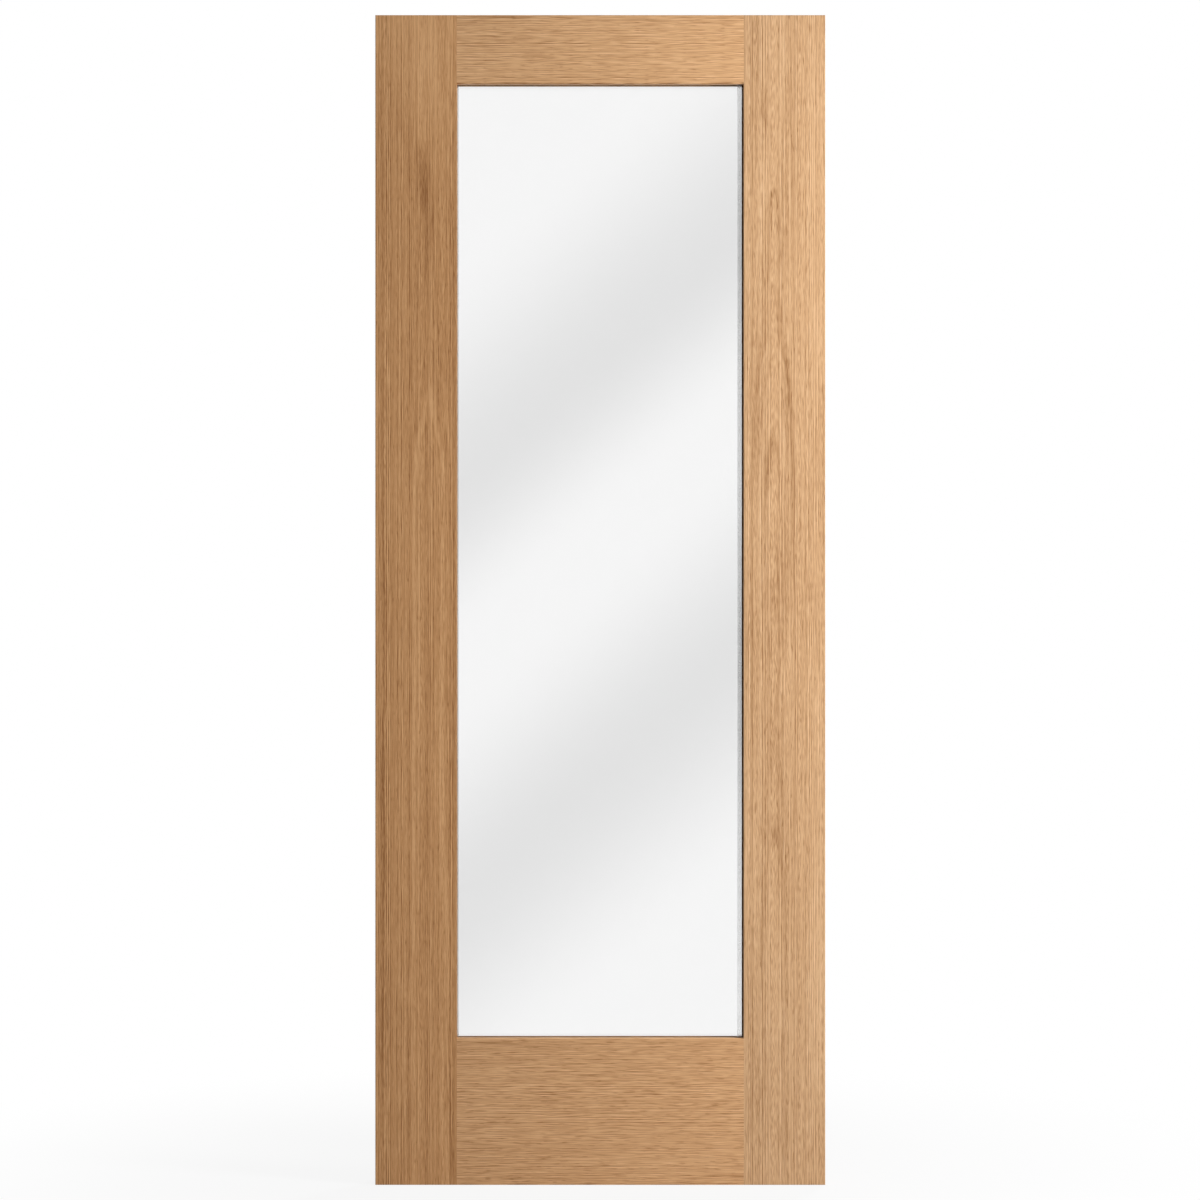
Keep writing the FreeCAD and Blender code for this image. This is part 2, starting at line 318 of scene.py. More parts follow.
# Joints: half the width of their dark line, and its strength beside the beads. Then end grain: faces square
# to the grain darken between two shares of turning, up to a strength.
SEAM_HALF_WIDTH = 0.9 * MM
BEAD_SEAM_STRENGTH = 0.9
OAK_END_GRAIN = (0.8, 0.95, 0.42)
# The lacquer: roughness with what pores and fine streaks add to it, gloss, and relief.
LACQUER_ROUGHNESS = 0.46
PORE_ROUGHNESS = 0.2
STREAK_ROUGHNESS = 0.12
LACQUER_GLOSS = 0.23
STREAK_RELIEF = 0.6
GRAIN_RELIEF_STRENGTH = 0.35
GRAIN_RELIEF_HEIGHT = 0.12 * MM


class Board(Tree):
    """The node tree of a board's material, with places across the board, along it and below its face."""

    def __init__(self, material, along, face, seed):
        super().__init__(material)
        x, self.y, z = self.coordinates()
        self.across, self.run, self.length = (x, z, LEAF_HEIGHT) if along == "Z" else (z, x, LEAF_WIDTH)
        self.below = self.gap(self.y, face)
        self.seed = seed

    def field(self, cells_across, cells_along, detail, offset, base=None):
        """Noise drawn out along the grain, from -0.5 to 0.5."""
        side = self.math("MULTIPLY", base or self.across, cells_across)
        deep = self.math("MULTIPLY_ADD", self.y, cells_across, self.seed + offset)
        far = self.math("MULTIPLY", self.run, cells_along)
        return self.math("SUBTRACT", self.noise(self.join(side, deep, far), detail), 0.5)

    def streak(self, base, cells, changes, steady, offset):
        """Lines that keep their places across the grain and change in strength along it, from -0.5 to 0.5."""
        lane = self.math("MULTIPLY_ADD", base, cells, self.seed + offset)
        line = self.math("SUBTRACT", self.noise(lane, detail=0.0, dimensions="1D"), 0.5)
        change = self.field(CHANGE_CELLS * cells, changes, 0.0, offset + CHANGE_OFFSET, base)
        return self.math("MULTIPLY", line, self.total(steady, (CHANGE_GAIN * (1.0 - steady), change)))

    def dashes(self, base, cells, changes, offset):
        """Short lines along the grain, each begun at a place of its own, from -0.5 to 0.5."""
        lane = self.math("MULTIPLY_ADD", base, cells, self.seed + offset)
        start = self.noise(lane, detail=0.0, dimensions="1D", scale=DASH_START_SCALE)
        far = self.math("MULTIPLY_ADD", self.run, changes, self.math("MULTIPLY", start, DASH_START_SPREAD))
        return self.math("SUBTRACT", self.noise(self.join(lane, far), detail=0.0, dimensions="2D"), 0.5)


def growth_rings(board, grain_across, centre, depths):
    """The distance from the pith, which tells the growth ring, and its slope: how wide a ring shows."""
    grain_run = board.total(board.run, (SHIFT_REACH, board.field(*SHIFT)))
    low = min(deep for _, deep in depths)
    reach = max(deep for _, deep in depths) - low
    points = [(far, (deep - low) / reach) for far, deep in depths]

    def pith_depth(shift):
        share = board.math("DIVIDE", board.math("ADD", grain_run, shift), board.length)
        behind_face = board.math("MULTIPLY_ADD", board.curve(share, points), reach * MM, low * MM)
        return board.math("ADD", behind_face, board.below)

    inward = pith_depth(0.0)
    rise = board.math("DIVIDE", board.math("SUBTRACT", pith_depth(SLOPE_STEP), inward), SLOPE_STEP)
    sideways = board.math("SUBTRACT", grain_across, centre)
    radius = board.hypot(sideways, inward)
    return radius, board.hypot(board.math("DIVIDE", sideways, radius), rise)


def ring_lines(board, radius, ring_width, fade, thin):
    """The lines of the growth rings, each with its own tone. None show where the face runs along a ring."""
    rings = board.math("DIVIDE", radius, ring_width)
    tone = board.total(LEAST_RING_TONE, (RING_TONE_SPREAD, board.white_noise(board.math("FLOOR", rings))))
    return board.times(board.ramp(board.math("FRACT", rings), RING_LINE), fade, tone, thin)


def with_arches(board, value, arches, radius, slope, fade, thin):
    """Adds the single rings that stand out."""
    broken = board.math("MULTIPLY", fade, board.span(board.field(*BREAKS), *BREAK_RANGE))
    for ring, half_width, strength, least_slope, last_slope in arches:
        off = board.math("DIVIDE", board.gap(radius, ring * MM), board.math("MAXIMUM", slope, least_slope))
        mark = board.span(off, 0.0, ARCH_EDGE * half_width * MM, 1.0, 0.0)
        if least_slope == 0.0:
            mark = board.math("MULTIPLY", mark, thin)
        legs = board.span(slope, LEG_FADE_START * last_slope, last_slope, 1.0, LEG_END)
        value = board.total(value, (strength, board.times(mark, broken, legs)))
    return value


def with_flecks(board, value, flecks, grain_across, fade):
    """Adds soft marks."""
    for side, far, half_side, half_far, strength in flecks:
        across_share = board.math("DIVIDE", board.math("SUBTRACT", grain_across, side), half_side)
        along_share = board.math("DIVIDE", board.math("SUBTRACT", board.run, far), half_far)
        off = board.total(board.hypot(across_share, along_share), (FLECK_RAGGEDNESS, fade))
        value = board.total(value, (strength, board.span(off, *FLECK_RANGE)))
    return value


def shaded(colour, shares):
    return tuple(channel * share for channel, share in zip(colour, shares))


def oak(name, along, centre, depths, seed, streaks=STILE_STREAKS, mean=OAK, lines=-0.15, arches=(), flecks=(),
        seams=(), seam_share=0.30, face=FRONT_Y, ring_width=RING_WIDTH):
    """Lacquered oak whose grain runs along Z or X.

    centre is where the pith lies across the board, in metres. depths is how far behind the face it lies, in
    mm at shares of the board's length. lines is how far the ring lines go dark (below 0) or light. arches are
    single rings that stand out as thin lines: radius and half width in mm, strength, the slope below which
    the line widens (at 0 the ring shows only its legs), and the slope where its legs end. flecks are soft
    marks: place across and along, half sizes, and strength. seams are places across the board where it meets
    another, and seam_share is how dark the joint is.
    """
    material = bpy.data.materials.new(name)
    board = Board(material, along, face, seed)
    wander = board.field(*WANDER)
    ripple = board.field(*RIPPLE)
    fade = board.span(board.field(*FADE), *FADE_RANGE)
    grain_across = board.total(
        board.across, (WANDER_REACH, wander), (RIPPLE_REACH, ripple), (JITTER_REACH, board.field(*JITTER)))

    # Broad tone, then what follows the growth rings.
    radius, slope = growth_rings(board, grain_across, centre, depths)
    thin = board.span(slope, *LINE_SLOPES)
    line = ring_lines(board, radius, ring_width, fade, thin)
    value = board.total(MEAN_TONE, (lines, line), (TONE_WEIGHT, board.field(*TONE)))
    for number, (cells, weight) in enumerate(RING_STREAKS):
        band = board.streak(
            radius, cells, RING_STREAK_CHANGES, RING_STREAK_STEADY, RING_STREAK_OFFSET + number)
        value = board.total(value, (weight, board.math("MULTIPLY", band, thin)))
    value = with_arches(board, value, arches, radius, slope, fade, thin)

    # Straight streaks, pores and dashes. They change with depth too, so that the edges of a board show them.
    fibre_across = board.total(
        board.across, (FIBRE_RIPPLE[along], ripple), (FIBRE_WANDER[along], wander), (1.0, board.y))
    layers = []
    for number, (cells, changes, steady, weight) in enumerate(streaks):
        layers.append(board.streak(fibre_across, cells, changes, steady, STREAK_OFFSET + number))
        value = board.total(value, (weight, layers[-1]))
    finest = layers[0]
    open_pores = board.span(board.field(*PORES, fibre_across), *PORE_RANGE)
    pore_mark = board.math("MULTIPLY", open_pores, board.total(1.0 - PORES_ON_LINES, (PORES_ON_LINES, line)))
    value = board.total(value, (PORE_WEIGHT, pore_mark))
    for number, (cells, changes, weight) in enumerate(DASHES[along]):
        value = board.total(value, (weight, board.dashes(fibre_across, cells, changes, DASH_OFFSET + number)))
    value = with_flecks(board, value, flecks, grain_across, fade)

    # The grain's tone picks the colour. Joints are fine dark lines, and end grain is darker than the face.
    dark = shaded(mean, DARK_GRAIN)
    colour = board.ramp(value, [(0.0, dark), (MEAN_TONE, mean), (1.0, shaded(mean, LIGHT_GRAIN))])
    for seam in seams:
        share = board.span(board.gap(board.across, seam), 0.0, SEAM_HALF_WIDTH, seam_share, 0.0)
        colour = board.mix(share, colour, dark)
    colour = board.mix(board.end_grain(along, *OAK_END_GRAIN), colour, dark)

    relief = board.total(board.math("MULTIPLY", pore_mark, -1.0), (STREAK_RELIEF, finest))
    roughness = board.total(LACQUER_ROUGHNESS, (PORE_ROUGHNESS, pore_mark), (STREAK_ROUGHNESS, finest))
    board.coat(
        colour, roughness, relief, GRAIN_RELIEF_STRENGTH, GRAIN_RELIEF_HEIGHT,
        {"Specular IOR Level": LACQUER_GLOSS})
    return material


# The core's staves: width, place of the first, and how far apart in the tree they were cut, across and deep.
STAVE_WIDTH = 26.0 * MM
FIRST_STAVE = 7.0 * MM
STAVE_SHIFT = (110.0 * MM, 60.0 * MM)
SOFTWOOD_RING_WIDTH = 3.6 * MM
LATE_WOOD = [(0.0, 0.0), (0.55, 0.1), (0.86, 0.9), (0.93, 1.0), (1.0, 0.0)]
LATE_WOOD_WEIGHT = 0.28
# Cells per metre across, deep and along the wood; the wobble differs by stave and not by depth.
WOBBLE_CELLS = (30.0, 1.0, 4.0)
WOBBLE_RINGS = 0.8
FIBRE_CELLS = (700.0, 700.0, 25.0)
FIBRE_WEIGHT = 0.5
STAVE_TONE = 0.12
STAVE_TONE_SPREAD = 0.36
SOFTWOOD_COLOURS = [(0.0, (0.34, 0.185, 0.080)), (0.55, (0.56, 0.37, 0.19)), (1.0, (0.68, 0.50, 0.30))]
# Glue lines: half width as a share of a stave's width, strength, colour.
GLUE_HALF_WIDTH = 0.022
GLUE_STRENGTH = 0.55
GLUE_COLOUR = (0.23, 0.13, 0.06)
# Faces square to the grain darken between two shares of turning, up to a strength.
CORE_END_GRAIN = (0.6, 0.9, 0.3)
CORE_END_COLOUR = (0.33, 0.19, 0.085)
SAWN_ROUGHNESS = 0.62
SAWN_ROUGHNESS_SPREAD = 0.2


def laminated_core(name, along, seed):
    """Glued softwood staves: narrow strips of different tone, with sawn fibres and glue lines."""
    material, tree = new_tree(name)
    x, y, z = tree.coordinates()
    across, run = (x, z) if along == "Z" else (z, x)
    staves = tree.math("DIVIDE", tree.math("ADD", across, FIRST_STAVE), STAVE_WIDTH)
    stave = tree.white_noise(tree.math("ADD", tree.math("FLOOR", staves), seed))
    ring_across = tree.total(across, (STAVE_SHIFT[0], stave))
    ring_deep = tree.total(y, (STAVE_SHIFT[1], stave))
    rings = tree.math("DIVIDE", tree.hypot(ring_across, ring_deep), SOFTWOOD_RING_WIDTH)
    wobble = tree.noise(tree.cells((across, stave, run), WOBBLE_CELLS))
    late = tree.ramp(tree.math("FRACT", tree.total(rings, (WOBBLE_RINGS, wobble))), LATE_WOOD)
    fibres = tree.noise(tree.cells((across, y, run), FIBRE_CELLS), detail=3.0, roughness=0.6)
    value = tree.total(STAVE_TONE, (STAVE_TONE_SPREAD, stave), (FIBRE_WEIGHT, fibres))
    value = tree.math("SUBTRACT", value, tree.math("MULTIPLY", late, LATE_WOOD_WEIGHT), clamp=True)
    colour = tree.ramp(value, SOFTWOOD_COLOURS)
    inside = tree.math("FRACT", staves)
    glue = tree.math("MINIMUM", inside, tree.math("SUBTRACT", 1.0, inside))
    colour = tree.mix(tree.span(glue, 0.0, GLUE_HALF_WIDTH, GLUE_STRENGTH, 0.0), colour, GLUE_COLOUR)
    colour = tree.mix(tree.end_grain(along, *CORE_END_GRAIN), colour, CORE_END_COLOUR)
    roughness = tree.total(SAWN_ROUGHNESS, (SAWN_ROUGHNESS_SPREAD, fibres))
    tree.coat(
        colour, roughness, fibres, relief_strength=0.5, relief_height=0.2 * MM,
        constants={"Specular IOR Level": 0.25})
    return material


GLASS_TINT = (0.938, 0.938, 0.938)
GLASS_SHADOW = (0.93, 0.93, 0.93)


def clear_glass():
    """Clear float glass that lets the lamps through to what stands behind it."""
    material, tree = new_tree("clear_float_glass")
    glass = tree.add("ShaderNodeBsdfPrincipled", {
        "Base Color": GLASS_TINT, "Roughness": 0.0, "IOR": 1.5, "Transmission Weight": 1.0,
    })
    clear = tree.add("ShaderNodeBsdfTransparent", {"Color": GLASS_SHADOW})
    shadow = tree.add("ShaderNodeLightPath").outputs["Is Shadow Ray"]
    tree.output(tree.choose(shadow, glass, clear))
    return material


# Rolled aluminium: drawing lines and clouds in cells per metre, then greys.
DRAWING_CELLS = (2600.0, 2600.0, 9.0)
CLOUD_CELLS = (30.0, 30.0, 30.0)
DRAWING_SHARE = 0.4
ALUMINIUM_GREYS = [(0.25, 0.76), (0.5, 0.82), (0.75, 0.88)]
# Breather slits: pitch, where they end as shares of the pitch from its middle, and where their sides end.
SLIT_PITCH = 3.0 * MM
SLIT_ENDS = (0.16, 0.24)
SLIT_EDGES = (0.15 * MM, 0.30 * MM)
# The two rows of slits: the Y between them, and how far each lies from it.
SLIT_MIDDLE_Y = 1.0 * MM
SLIT_ROW_OFF = 1.6 * MM
SLIT_COLOUR = (0.03, 0.03, 0.03)
# Slits fade out between these shares of turning towards a pane.
SLIT_TURN = (0.2, 0.5)
ALUMINIUM_ROUGHNESS = 0.18
ALUMINIUM_ROUGHNESS_SPREAD = 0.12


def spacer_metal():
    """Rolled aluminium with drawing lines and two rows of breather slits on the face towards the cavity."""
    material, tree = new_tree("spacer_aluminium")
    x, y, z = tree.coordinates()
    lines = tree.noise(tree.cells((x, y, z), DRAWING_CELLS))
    cloud = tree.noise(tree.cells((x, y, z), CLOUD_CELLS), detail=3.0)
    value = tree.total(tree.math("MULTIPLY", cloud, 1.0 - DRAWING_SHARE), (DRAWING_SHARE, lines))
    colour = tree.ramp(value, ALUMINIUM_GREYS)
    pitches = tree.math("DIVIDE", tree.math("ADD", x, z), SLIT_PITCH)
    along = tree.span(tree.gap(tree.math("FRACT", pitches), 0.5), *SLIT_ENDS, 1.0, 0.0)
    row = tree.gap(tree.gap(y, SLIT_MIDDLE_Y), SLIT_ROW_OFF)
    turn = tree.math("ABSOLUTE", tree.coordinates("Normal")["Y"])
    slit = tree.times(along, tree.span(row, *SLIT_EDGES, 1.0, 0.0), tree.span(turn, *SLIT_TURN, 1.0, 0.0))
    colour = tree.mix(slit, colour, SLIT_COLOUR)
    roughness = tree.total(ALUMINIUM_ROUGHNESS, (ALUMINIUM_ROUGHNESS_SPREAD, lines))
    tree.coat(
        colour, roughness, tree.math("SUBTRACT", lines, slit), relief_strength=0.25, relief_height=0.1 * MM,
        constants={"Metallic": 1.0})
    return material


RUBBER_ROUGHNESS = 0.72
RUBBER_ROUGHNESS_SPREAD = 0.15


def matt_rubber(name, dark, light, pitch, gloss=0.3):
    """Sealant, foam tape or moulded block: a matt surface with a fine grain."""
    material, tree = new_tree(name)
    grain = tree.noise(tree.cells(tree.coordinates(), [1.0 / pitch] * 3), detail=3.0, roughness=0.6)
    colour = tree.ramp(grain, [(0.3, dark), (0.7, light)])
    roughness = tree.total(RUBBER_ROUGHNESS, (RUBBER_ROUGHNESS_SPREAD, grain))
    tree.coat(
        colour, roughness, grain, relief_strength=0.4, relief_height=0.2 * MM,
        constants={"Specular IOR Level": gloss})
    return material


# Depth of the pith behind each board in mm, from its foot or left end (0) to its head or right end (1). The
# arches of the grain follow it.
HINGE_STILE_DEPTHS = (
    (0.0, 64.0), (0.244, 64.8), (0.415, 65.4), (0.544, 65.1), (0.606, 66.4), (0.630, 67.3), (0.647, 69.35),
    (0.661, 70.15), (0.676, 70.5), (0.705, 71.3), (0.756, 72.5), (1.0, 76.0),
)
LOCK_STILE_DEPTHS = (
    (0.0, 68.0), (0.192, 68.6), (0.261, 69.2), (0.278, 69.8), (0.302, 70.6), (0.346, 71.2), (0.397, 71.3),
    (0.429, 71.1), (0.466, 70.8), (0.500, 70.6), (0.547, 71.3), (0.568, 72.0), (0.611, 72.7), (0.654, 74.0),
    (0.697, 76.5), (0.718, 78.5), (0.750, 79.20), (0.805, 79.70), (0.853, 80.12), (1.0, 81.4),
)
FLAT_DEPTHS = ((0.0, 34.0), (0.35, 35.2), (0.7, 34.5), (1.0, 36.0))
# Rings that stand out on the stiles: radius and half width in mm, strength, least slope, last slope.
HINGE_STILE_ARCHES = (
    (70.5, 3.8, 0.29, 0.10, 0.90), (71.9, 1.8, -0.18, 0.02, 0.50), (73.3, 1.6, -0.14, 0.02, 0.50),
    (67.6, 1.8, 0.14, 0.02, 0.50), (79.5, 1.6, -0.14, 0.02, 0.50),
)
LOCK_STILE_ARCHES = (
    (80.1, 3.0, -0.31, 0.008, 0.60), (79.4, 2.4, -0.20, 0.008, 0.50), (75.3, 2.4, -0.14, 0.0, 0.24),
    (73.4, 3.4, -0.25, 0.09, 0.30), (71.35, 2.8, -0.20, 0.02, 0.36), (70.6, 2.6, -0.18, 0.02, 0.36),
    (78.0, 1.8, -0.11, 0.0, 0.50), (76.6, 1.6, -0.09, 0.0, 0.40), (74.4, 1.6, -0.11, 0.0, 0.34),
    (72.4, 1.6, -0.13, 0.0, 0.34), (69.8, 1.6, -0.12, 0.0, 0.36), (81.6, 1.6, -0.13, 0.0, 0.50),
    (83.5, 1.4, -0.11, 0.0, 0.50), (86.2, 1.4, -0.10, 0.0, 0.60), (89.0, 1.4, -0.10, 0.0, 0.60),
)
BACK_STILE_ARCHES = (
    (79.8, 2.8, -0.24, 0.008, 0.60), (76.0, 2.4, -0.18, 0.02, 0.40), (73.6, 3.0, -0.22, 0.06, 0.30),
    (71.2, 2.6, -0.20, 0.02, 0.36), (69.8, 2.4, -0.18, 0.02, 0.36),
)
# Soft marks in the grain, in metres: place across and along the board, half sizes, then strength. The first
# mark on each rail is painted light along its edge by the glass: painted shade under the top rail, a painted
# highlight on the bottom rail's edge.
HINGE_STILE_FLECKS = (
    (0.105, 1.900, 0.050, 0.200, 0.18), (0.050, 1.940, 0.080, 0.120, 0.14),
    (0.075, 1.735, 0.004, 0.045, -0.16), (0.080, 1.690, 0.007, 0.070, -0.22),
    (0.086, 1.670, 0.014, 0.080, -0.12), (0.098, 1.640, 0.004, 0.070, -0.22),
    (0.0145, 0.62, 0.0026, 0.95, -0.34), (0.0095, 0.50, 0.0015, 0.80, -0.22),
    (0.059, 0.17, 0.006, 0.16, -0.14), (0.094, 1.292, 0.007, 0.042, 0.15),
)
LOCK_STILE_FLECKS = (
    (LOCK_STILE_LEFT + 0.034, 1.815, 0.006, 0.045, -0.20),
    (LOCK_STILE_LEFT + 0.046, 1.215, 0.010, 0.055, -0.16),
    (LOCK_STILE_LEFT + 0.052, 0.590, 0.009, 0.030, -0.22),
    (LOCK_STILE_LEFT + 0.062, 0.33, 0.003, 0.06, -0.16),
    (LOCK_STILE_LEFT + 0.030, 0.17, 0.030, 0.10, -0.06),
    (LOCK_STILE_LEFT + 0.050, 1.246, 0.008, 0.016, -0.16),
)
TOP_RAIL_FLECKS_AND_SHADE = (
    # Painted shade: a dark line along the foot of the top rail, on its chamfer by the glass, where the
    # underside falls in shade.
    (TOP_RAIL_FOOT + 0.0005, 0.381, 0.0013, 0.45, -0.26),
    (LEAF_HEIGHT - 0.0035, 0.22, 0.0022, 0.10, -0.22),
    (LEAF_HEIGHT - 0.0080, 0.44, 0.0020, 0.08, -0.18),
    (LEAF_HEIGHT - 0.0120, 0.56, 0.0016, 0.07, -0.16),
    (LEAF_HEIGHT - 0.0050, 0.61, 0.0020, 0.06, -0.18),
)
BOTTOM_RAIL_FLECKS_AND_HIGHLIGHT = (
    # Painted highlight: a light line along the head of the bottom rail, on its edge by the glass, where light
    # catches it.
    (BOTTOM_RAIL_HEAD - 0.0007, 0.381, 0.0011, 0.45, 0.30),
    (BOTTOM_RAIL_HEAD - 0.0060, 0.19, 0.0016, 0.05, -0.26),
    (BOTTOM_RAIL_HEAD - 0.0085, 0.21, 0.0014, 0.06, -0.20),
    (BOTTOM_RAIL_HEAD - 0.0145, 0.27, 0.0014, 0.06, -0.16),
    (0.0120, 0.28, 0.0022, 0.20, -0.16), (0.0330, 0.40, 0.0018, 0.22, -0.14),
    (0.0140, 0.60, 0.0020, 0.10, -0.16),
)
# Where the pith of the rails lies, across them.
TOP_RAIL_PITH = {"front": LEAF_HEIGHT - 0.26, "back": LEAF_HEIGHT + 0.24}
BOTTOM_RAIL_PITH = -0.12
FACES = {"front": FRONT_Y, "back": BACK_Y}


def dress(node, material):
    """Gives a CAD node its material."""
    piece = node_objects[node]
    piece.data.materials.clear()
    piece.data.materials.append(material)


def dress_stiles():
    seams = (STILE_WIDTH, LOCK_STILE_LEFT)
    dress("hinge_stile_front_veneer", oak(
        "oak_hinge_stile_front", "Z", centre=0.092, depths=HINGE_STILE_DEPTHS, seed=1.3,
        streaks=HINGE_STILE_STREAKS, mean=HINGE_STILE_OAK_AND_SHADE, lines=0.10, arches=HINGE_STILE_ARCHES,
        flecks=HINGE_STILE_FLECKS, seams=seams, ring_width=HINGE_STILE_RING_WIDTH))
    dress("lock_stile_front_veneer", oak(
        "oak_lock_stile_front", "Z", centre=LOCK_STILE_LEFT + 0.050, depths=LOCK_STILE_DEPTHS, seed=21.7,
        mean=LOCK_STILE_OAK_AND_SHEEN, lines=-0.10, arches=LOCK_STILE_ARCHES, flecks=LOCK_STILE_FLECKS, seams=seams,
        ring_width=LOCK_STILE_RING_WIDTH))
    dress("hinge_stile_back_veneer", oak(
        "oak_hinge_stile_back", "Z", centre=0.060, depths=LOCK_STILE_DEPTHS, seed=33.1,
        arches=BACK_STILE_ARCHES, seams=seams, face=BACK_Y))
    dress("lock_stile_back_veneer", oak(
        "oak_lock_stile_back", "Z", centre=LOCK_STILE_LEFT + 0.075, depths=HINGE_STILE_DEPTHS, seed=45.9,
        seams=seams, face=BACK_Y))


def dress_rails():
    top_seeds = {"front": 57.3, "back": 68.3}
    bottom_seeds = {"front": 71.9, "back": 84.9}
    for side, face in FACES.items():
        dress(f"top_rail_{side}_veneer", oak(
            f"oak_top_rail_{side}", "X", TOP_RAIL_PITH[side], FLAT_DEPTHS, top_seeds[side], RAIL_STREAKS,
            TOP_RAIL_OAK, lines=-0.10, flecks=TOP_RAIL_FLECKS_AND_SHADE, face=face))
        dress(f"bottom_rail_{side}_veneer", oak(
            f"oak_bottom_rail_{side}", "X", BOTTOM_RAIL_PITH, FLAT_DEPTHS, bottom_seeds[side], RAIL_STREAKS,
            BOTTOM_RAIL_OAK, lines=-0.10, flecks=BOTTOM_RAIL_FLECKS_AND_HIGHLIGHT, face=face))


def dress_edges():
    """The solid lippings and the cores, which show along the edges of the leaf."""
    upright = oak("oak_lipping_upright", "Z", centre=0.20, depths=FLAT_DEPTHS, seed=83.3, lines=-0.12)
    level = oak(
        "oak_lipping_level", "X", centre=0.90, depths=FLAT_DEPTHS, seed=95.1, streaks=RAIL_STREAKS,
        lines=-0.12)
    for stile in ("hinge_stile", "lock_stile"):
        for edge in ("outer", "inner"):
            dress(f"{stile}_{edge}_lipping", upright)
        dress(f"{stile}_core", laminated_core(f"{stile}_staves", "Z", seed=3.0))
    for rail in ("top_rail", "bottom_rail"):
        dress(f"{rail}_lipping", level)
        dress(f"{rail}_core", laminated_core(f"{rail}_staves", "X", seed=8.0))


def dress_beads():
    sides = (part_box("glazing_bead_hinge_side")[0].x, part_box("glazing_bead_lock_side")[1].x)
    ends = (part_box("glazing_bead_bottom")[0].z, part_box("glazing_bead_top")[1].z)
    upright = oak(
        "oak_bead_upright", "Z", centre=0.30, depths=FLAT_DEPTHS, seed=103.7, lines=-0.12, seams=sides,
        seam_share=BEAD_SEAM_STRENGTH, face=BACK_Y)
    level = oak(
        "oak_bead_level", "X", centre=0.80, depths=FLAT_DEPTHS, seed=117.5, streaks=RAIL_STREAKS, lines=-0.12,
        seams=ends, seam_share=BEAD_SEAM_STRENGTH, face=BACK_Y)
    for side in SIDES:
        dress(f"glazing_bead_{side}", upright if side.endswith("side") else level)


def dress_glazing():
    glass = clear_glass()
    for pane in ("outer_pane", "inner_pane"):
        dress(pane, glass)
    spacer_bars(spacer_metal())
    sealant = matt_rubber(
        "polysulphide_sealant", (0.028, 0.014, 0.006), (0.050, 0.026, 0.011), pitch=1.6 * MM)
    tape = matt_rubber(
        "brown_foam_tape", (0.075, 0.032, 0.011), (0.115, 0.051, 0.018), pitch=0.7 * MM, gloss=0.02)
    for side in SIDES:
        dress(f"edge_sealant_{side}", sealant)
        dress(f"front_tape_{side}", tape)
        dress(f"back_tape_{side}", tape)
    block = matt_rubber(
        "setting_block_plastic", (0.03, 0.03, 0.032), (0.06, 0.06, 0.065), pitch=0.5 * MM)
    for side in ("hinge_side", "lock_side"):
        dress(f"setting_block_{side}", block)


# A spacer bar's section: distance in from its outer edge as a share of its width, and place in the cavity as
# a share of the depth.
SPACER_SECTION = (
    (0.0, 0.10), (0.03, 0.04), (0.08, 0.025), (0.90, 0.025), (0.97, 0.04), (1.0, 0.075),
    (1.0, 0.40), (0.975, 0.43), (0.975, 0.57), (1.0, 0.60),
    (1.0, 0.925), (0.97, 0.96), (0.90, 0.975), (0.08, 0.975), (0.03, 0.96), (0.0, 0.90),
)
# The corners of the unit, by the way they point in X and Z, and the two that each bar runs between.
OUTWARD = ((-1, -1), (1, -1), (1, 1), (-1, 1))
BAR_ENDS = {"bottom": (0, 1), "lock_side": (1, 2), "top": (2, 3), "hinge_side": (3, 0)}


def spacer_mesh(name, ends, low, high, width):
    """One bar between two mitred ends, within the corners low and high of all four."""
    mesh = bmesh.new()
    loops = []
    for end in ends:
        way_x, way_z = OUTWARD[end]
        loop = []
        for inset, share in SPACER_SECTION:
            x = (high.x if way_x > 0 else low.x) - way_x * inset * width
            z = (high.z if way_z > 0 else low.z) - way_z * inset * width
            loop.append(mesh.verts.new((x, low.y + share * (high.y - low.y), z)))
        loops.append(loop)
    first, last = loops
    for i in range(len(SPACER_SECTION)):
        mesh.faces.new((first[i - 1], first[i], last[i], last[i - 1]))
    mesh.faces.new(first)
    mesh.faces.new(reversed(last))
    bmesh.ops.recalc_face_normals(mesh, faces=mesh.faces)
    data = bpy.data.meshes.new(name)
    mesh.to_mesh(data)
    mesh.free()
    return data


def spacer_bars(metal):
    """Rolled bars with rounded shoulders and a seam groove, mitred, a hair clear of the panes."""
    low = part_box("spacer_bar_bottom")[0]
    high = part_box("spacer_bar_top")[1]
    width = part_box("spacer_bar_bottom")[1].z - low.z
    for side, ends in BAR_ENDS.items():
        data = spacer_mesh(f"spacer_{side}", ends, low, high, width)
        data.materials.append(metal)
        piece = bpy.data.objects.new(f"spacer_{side}", data)
        scene.collection.objects.link(piece)
        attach(piece, "root")
        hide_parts(f"spacer_bar_{side}")


# World light: from all round, then growing towards the front and above, and towards the back and above. The
# pairs are how much Y and Z count in each direction.
FILL_ROUND = 0.11
FILL_FRONT = 0.37
FILL_BACK = 0.20
FRONT_WAY = (-0.85, 0.52)
BACK_WAY = (0.85, 0.40)
# The floor: half its side, its matt grey, and the share of white that it shows near the leaf. That share
# grows to 1 between two distances from the leaf.
FLOOR_REACH = 6.0
FLOOR_GREY = (0.57, 0.57, 0.57)
FLOOR_WHITE_NEAR = 0.88
FLOOR_WHITE_FROM = 0.4
FLOOR_WHITE_TO = 1.4
WHITE = (1.0, 1.0, 1.0)
